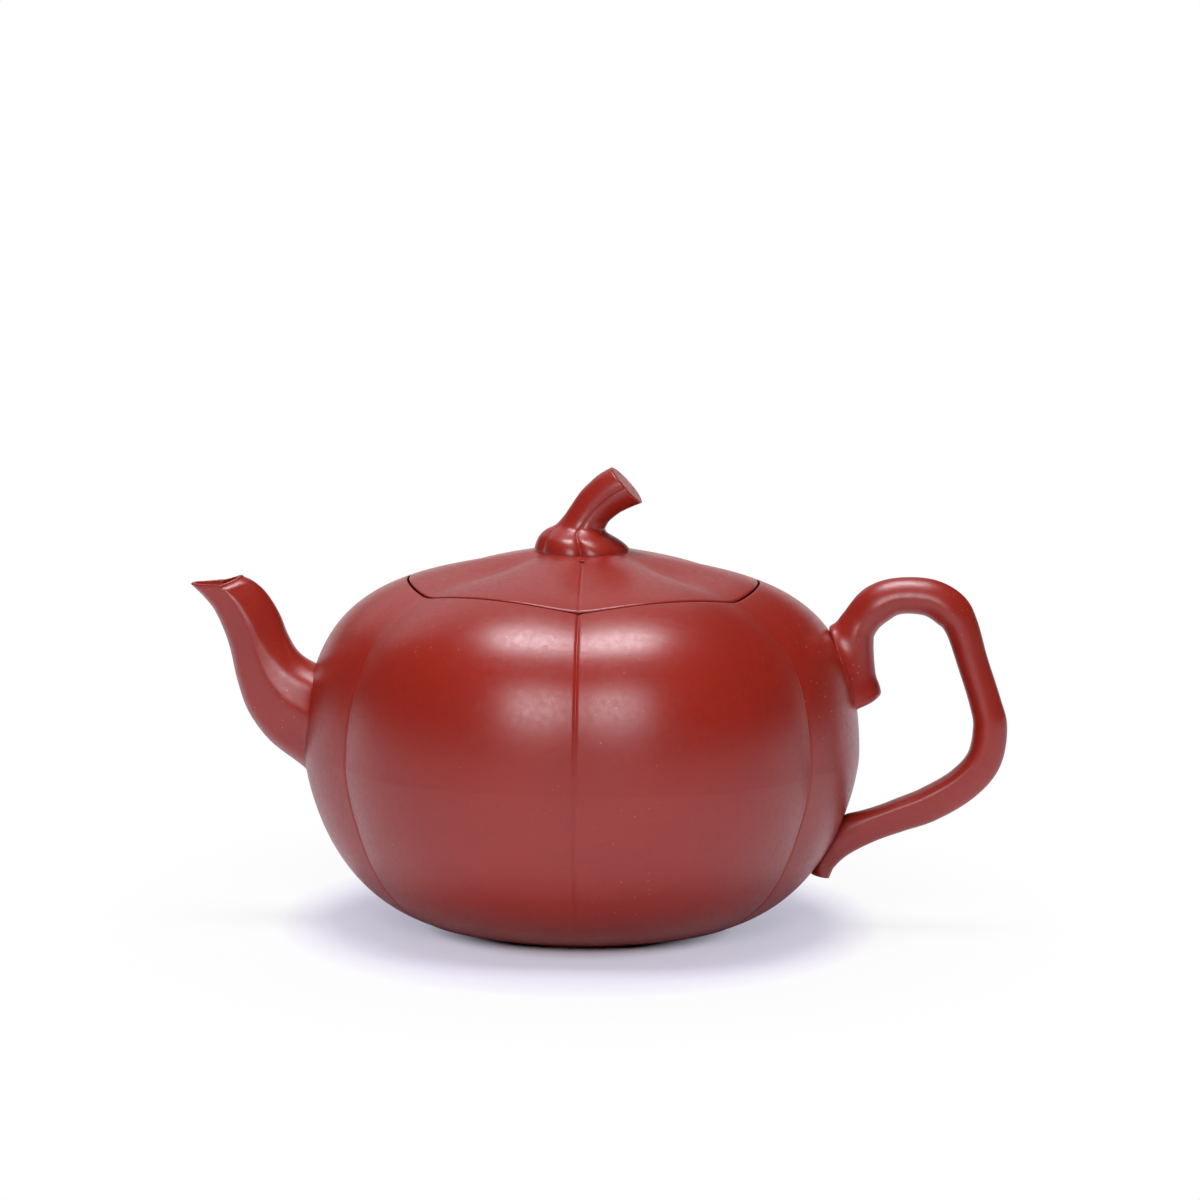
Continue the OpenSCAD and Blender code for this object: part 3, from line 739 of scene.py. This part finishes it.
class Kit:
    """Makes nodes in one tree. A term is either a plain value, to be set, or an output, to be linked."""

    def __init__(self, tree):
        self.tree = tree

    def node(self, kind, **settings):
        made = self.tree.nodes.new("ShaderNode" + kind)
        for name, value in settings.items():
            setattr(made, name, value)
        return made

    def feed(self, node, **terms):
        """Feeds a node's inputs by name, with a low line for each space."""
        for name, term in terms.items():
            self.put(node.inputs[name.replace("_", " ")], term)

    def put(self, socket, term):
        if isinstance(term, bpy.types.NodeSocket):
            self.tree.links.new(term, socket)
        else:
            socket.default_value = term

    def maths(self, operation, *terms, clamp=False):
        made = self.node("Math", operation=operation, use_clamp=clamp)
        for socket, term in zip(made.inputs, terms):
            self.put(socket, term)
        return made.outputs[0]

    def vectors(self, operation, *terms):
        made = self.node("VectorMath", operation=operation)
        for socket, term in zip(made.inputs, terms):
            self.put(socket, term)
        return made.outputs

    def span(self, value, a, b, c, d, way="LINEAR"):
        """Value carried from the range a to b over to the range c to d."""
        made = self.node("MapRange", interpolation_type=way)
        self.feed(made, Value=value, From_Min=a, From_Max=b, To_Min=c, To_Max=d)
        return made.outputs["Result"]

    def blend(self, share, a, b, way="MIX"):
        """Colour b over colour a."""
        made = self.node("Mix", data_type="RGBA", blend_type=way)
        self.feed(made, Factor=share, A=a, B=b)
        return made.outputs["Result"]

    def rays(self, kind):
        return self.node("LightPath").outputs[f"Is {kind} Ray"]


def clay_group():
    """Fired clay as colour, roughness and height.

    Soft mottling and fine grain blend the clay with its deeper shade. Pale grit lies in faint clouds and in
    one spot by the handle's upper root, and a few pits sink in.
    """
    tree = bpy.data.node_groups.new("fired_clay", "ShaderNodeTree")
    for name, kind in (
        ("Clay", "Color"),
        ("Deep clay", "Color"),
        ("Grit", "Color"),
        ("Mottle", "Float"),
        ("Grit amount", "Float"),
        ("Sheen roughness", "Float"),
    ):
        tree.interface.new_socket(name=name, in_out="INPUT", socket_type="NodeSocket" + kind)
    for name, kind in (("Color", "Color"), ("Roughness", "Float"), ("Height", "Float")):
        tree.interface.new_socket(name=name, in_out="OUTPUT", socket_type="NodeSocket" + kind)
    kit = Kit(tree)
    maths, span, blend = kit.maths, kit.span, kit.blend
    given, out = tree.nodes.new("NodeGroupInput").outputs, tree.nodes.new("NodeGroupOutput")
    where = kit.node("TexCoord").outputs["Object"]

    def noise(scale, detail, rough):
        made = kit.node("TexNoise")
        kit.feed(made, Scale=scale, Detail=detail, Roughness=rough, Vector=where)
        return made.outputs["Fac"]

    def grains(scale, reach, share):
        """Rare round grains: cells whose own random value is high, inside a small radius."""
        cells = kit.node("TexVoronoi")
        kit.feed(cells, Scale=scale, Vector=where)
        near = span(cells.outputs["Distance"], reach * 0.55, reach, 1, 0)
        part = kit.node("SeparateColor")
        kit.feed(part, Color=cells.outputs["Color"])
        return maths("MULTIPLY", near, maths("GREATER_THAN", part.outputs["Red"], 1 - share))

    broad, fine, dust = noise(34, 3, 0.5), noise(900, 2, 0.6), noise(2600, 2, 0.6)
    mottle = given["Mottle"]
    shade = maths("MULTIPLY", span(broad, 0.35, 0.65, 0, 1), mottle)
    speckle = maths("MULTIPLY", span(fine, 0.4, 0.62, 0, 1), maths("MULTIPLY", mottle, 0.5))
    clouds = maths("MULTIPLY", span(noise(60, 2, 0.5), 0.52, 0.64, 0, 1), 0.4)
    apart = kit.vectors("DISTANCE", where, (0.052, -0.016, 0.05))["Value"]
    patch = maths("ADD", clouds, span(apart, 0.006, 0.018, 1, 0), clamp=True)
    grit = maths("MULTIPLY", maths("MULTIPLY", grains(760, 0.15, 0.45), patch), given["Grit amount"])
    pits = grains(420, 0.14, 0.03)
    colour = blend(maths("ADD", shade, speckle, clamp=True), given["Clay"], given["Deep clay"])
    colour = blend(grit, colour, given["Grit"])
    colour = blend(maths("MULTIPLY", pits, 0.7), colour, given["Deep clay"])
    rough = maths("ADD", given["Sheen roughness"], span(fine, 0.3, 0.7, -0.04, 0.05))
    rough = maths("ADD", rough, span(broad, 0.3, 0.7, -0.02, 0.02))
    rough = maths("ADD", rough, maths("MULTIPLY", pits, 0.2))
    height = maths("ADD", maths("MULTIPLY", fine, 0.35), maths("MULTIPLY", dust, 0.04))
    height = maths("SUBTRACT", maths("ADD", height, maths("MULTIPLY", grit, 0.5)), pits)
    kit.feed(out, Color=colour, Roughness=rough, Height=height)
    return tree


def clay(name, group, body, deep, grit, mottle, grit_amount, rough, bump):
    """Clay material: the clay group into a Principled shader, its height into a fine bump."""
    m = bpy.data.materials.new(name)
    m.use_nodes = True
    kit = Kit(m.node_tree)
    fired, relief = kit.node("Group", node_tree=group), kit.node("Bump")
    bsdf = m.node_tree.nodes["Principled BSDF"]
    kit.feed(fired, Clay=(*body, 1), Deep_clay=(*deep, 1), Grit=(*grit, 1))
    kit.feed(fired, Mottle=mottle, Grit_amount=grit_amount, Sheen_roughness=rough)
    kit.feed(relief, Strength=bump, Distance=0.00012, Height=fired.outputs["Height"])
    kit.feed(bsdf, Base_Color=fired.outputs["Color"], Roughness=fired.outputs["Roughness"])
    kit.feed(bsdf, Normal=relief.outputs["Normal"], IOR=1.6)
    return m


def dress(obj, material):
    """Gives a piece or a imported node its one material."""
    obj.data.materials.clear()
    obj.data.materials.append(material)


GROUP = clay_group()
RED_CLAY = clay(
    "rubbed_red_clay",
    GROUP,
    body=(0.315, 0.018, 0.008),
    deep=(0.23, 0.011, 0.005),
    grit=(0.7, 0.36, 0.22),
    mottle=0.30,
    grit_amount=0.8,
    rough=0.34,
    bump=0.2,
)
MATT_CLAY = clay(
    "matt_red_clay",
    GROUP,
    body=(0.30, 0.03, 0.022),
    deep=(0.22, 0.018, 0.014),
    grit=(0.58, 0.28, 0.2),
    mottle=0.35,
    grit_amount=0.5,
    rough=0.5,
    bump=0.45,
)

pieces = [
    (pot_wall(), "pot", ("body_wall",), RED_CLAY, "body_clay"),
    (base_disc(), "pot", ("base_plate",), RED_CLAY, "body_clay"),
    (ledge_ring(), "pot", ("mouth_ring",), MATT_CLAY, "inner_clay"),
    (spout_tube(), "pot", ("spout",), RED_CLAY, "body_clay"),
    (handle_arm(), "pot", ("handle",), RED_CLAY, "body_clay"),
    (lid_cover(), "lid", ("lid_top",), RED_CLAY, "body_clay"),
    (tongue_ring(), "lid", ("lid_tongue",), MATT_CLAY, "inner_clay"),
    (stalk_knob(), "lid", ("stem_knob",), RED_CLAY, "body_clay"),
]
for obj, body, nodes, material, slot in pieces:
    dress(obj, material)
    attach(obj, body)
    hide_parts(*nodes)
dress(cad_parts["strainer"], MATT_CLAY)

# ---------------------------------------------------------------- floor and light

# the table's glow: distance from the pot on the stretched plane, colour, and share of the surface; the
# lavender glow near the pot is a painted shadow tone
GLOW_STRETCH = (9.3, 7.14, 0)
GLOW_AND_PAINTED_SHADOW = (
    # the lavender stops at half share are painted shadow: they lighten and tint the real shadow near the pot
    (0.214, (0.8, 0.79, 0.95, 0)),
    (0.286, (0.8, 0.79, 0.95, 0.5)),
    (0.44, (0.82, 0.81, 0.97, 0.6)),
    (0.55, (1, 1, 1, 0.84)),
    (0.96, (1, 1, 1, 1)),
)


def table_top():
    """Pale table: a wide flat square whose far parts turn plain white to the camera.

    A ramp over the distance from the pot gives the colour and the share of a glow, which only camera, glossy
    and
    transmission rays see: plain white far out, and nearer the pot a lavender glow at about half share, a
    painted shadow tone laid over the real shadow. Glossy rays see the fourth power of its share, in a violet
    white that tints the clay's reflections of the table.
    """
    s = 3.0
    mesh = bpy.data.meshes.new("table_top")
    mesh.from_pydata([(-s, -s, 0), (s, -s, 0), (s, s, 0), (-s, s, 0)], [], [(0, 1, 2, 3)])
    m = bpy.data.materials.new("pale_table")
    m.use_nodes = True
    kit = Kit(m.node_tree)
    maths = kit.maths
    bsdf, out = m.node_tree.nodes["Principled BSDF"], m.node_tree.nodes["Material Output"]
    kit.feed(bsdf, Base_Color=(0.83, 0.83, 0.86, 1), Roughness=0.6, Specular_IOR_Level=0.2)
    where = kit.vectors("MULTIPLY", kit.node("TexCoord").outputs["Object"], GLOW_STRETCH)["Vector"]
    ramp = kit.node("ValToRGB")
    kit.feed(ramp, Fac=kit.vectors("LENGTH", where)["Value"])
    stops = ramp.color_ramp.elements
    while len(stops) < len(GLOW_AND_PAINTED_SHADOW):
        stops.new(0.5)
    for stop, (place, colour) in zip(stops, GLOW_AND_PAINTED_SHADOW):
        stop.position, stop.color = place, colour
    glossy = kit.rays("Glossy")
    seen = maths("MAXIMUM", maths("MAXIMUM", kit.rays("Camera"), glossy), kit.rays("Transmission"))
    share = maths("POWER", ramp.outputs["Alpha"], maths("MULTIPLY_ADD", glossy, 3, 1))
    glow, surface = kit.node("Emission"), kit.node("MixShader")
    kit.feed(glow, Color=kit.blend(glossy, ramp.outputs["Color"], (1, 0.91, 1, 1), "MULTIPLY"))
    share = maths("MULTIPLY", share, seen)
    for socket, term in zip(surface.inputs, (share, bsdf.outputs[0], glow.outputs[0])):
        kit.put(socket, term)
    kit.feed(out, Surface=surface.outputs[0])
    mesh.materials.append(m)
    obj = placed("table_top", mesh)


def room(strength):
    """Dim even room light. The camera sees plain white, and so does the gloss in directions low behind.

    How far a direction points low behind is its Y less its Z, and a smooth step from 0.6 to 0.8 takes it to
    white.
    """
    w = bpy.data.worlds.new("pale_room")
    bpy.context.scene.world = w
    w.use_nodes = True
    kit = Kit(w.node_tree)
    way = kit.node("SeparateXYZ")
    kit.feed(way, Vector=kit.node("TexCoord").outputs["Generated"])
    low_behind = kit.maths("SUBTRACT", way.outputs["Y"], way.outputs["Z"])
    gloss = kit.maths("MULTIPLY", kit.span(low_behind, 0.6, 0.8, 0, 1, "SMOOTHSTEP"), kit.rays("Glossy"))
    seen = kit.maths("MAXIMUM", gloss, kit.rays("Camera"))
    light = w.node_tree.nodes["Background"]
    kit.feed(light, Color=(1, 1, 1, 1), Strength=kit.span(seen, 0, 1, strength, 1.0))


def softbox(name, place, aim, size, power):
    """Rectangular soft lamp with a cool tint, at a place in metres and facing a point."""
    light = bpy.data.lights.new(name, "AREA")
    light.shape = "RECTANGLE"
    light.size, light.size_y = size
    light.energy = power
    light.color = (0.97, 0.93, 1.0)
    obj = placed(name, light)
    obj.location = place
    obj.rotation_euler = (Vector(aim) - Vector(place)).to_track_quat("-Z", "Y").to_euler()


table_top()
room(0.03)
softbox("overhead_softbox", (-0.07, 0.0, 1.6), (0, 0, 0.04), (0.56, 0.8), 22.5)
softbox("back_softbox", (-0.4, 1.2, 1.0), (0, 0, 0.06), (1.6, 0.9), 3.2)
softbox("front_softbox", (-0.03, -1.05, 0.6), (0, 0, 0.04), (0.6, 0.46), 7.4)

# ---------------------------------------------------------------- camera

# distance from the pot and the point looked at, in metres; angles up and to the right, and the roll
CAMERA_AWAY = 1.365
CAMERA_POINT = (0, 0, 0.03672)
CAMERA_UP = math.radians(9.19)
CAMERA_RIGHT = math.radians(1.455)
CAMERA_ROLL = 0.0113
# the frame's side in steps, a step's length at the pot, and the steps from the frame's middle to that point
FRAME_STEPS = 1200
STEP = 0.195e-3
POINT_RIGHT = 581.67 - 600
POINT_DOWN = 735.94 - 600


def view_camera():
    """Camera near the front, aimed off the point by its place in the frame, with the roll kept."""
    up_c, up_s = math.cos(CAMERA_UP), math.sin(CAMERA_UP)
    away = Vector((up_c * math.sin(CAMERA_RIGHT), -up_c * math.cos(CAMERA_RIGHT), up_s))
    right = (-away).cross(Vector((0, 0, 1))).normalized()
    up = right.cross(-away)
    c, s = math.cos(CAMERA_ROLL), math.sin(CAMERA_ROLL)
    right, up = c * right + s * up, c * up - s * right
    aim = (-CAMERA_AWAY * away - POINT_RIGHT * STEP * right + POINT_DOWN * STEP * up).normalized()
    right = (right - right.dot(aim) * aim).normalized()
    cam = bpy.data.cameras.new("camera")
    cam.sensor_width = 36
    cam.lens = cam.sensor_width * CAMERA_AWAY / (FRAME_STEPS * STEP)
    cam.clip_start, cam.clip_end = 0.05, 20
    obj = placed("camera", cam)
    turn = Matrix((right, right.cross(aim), -aim)).transposed().to_4x4()
    obj.matrix_world = Matrix.Translation(Vector(CAMERA_POINT) + CAMERA_AWAY * away) @ turn
    bpy.context.scene.camera = obj


view_camera()
bpy.context.scene.view_settings.view_transform = "Standard"
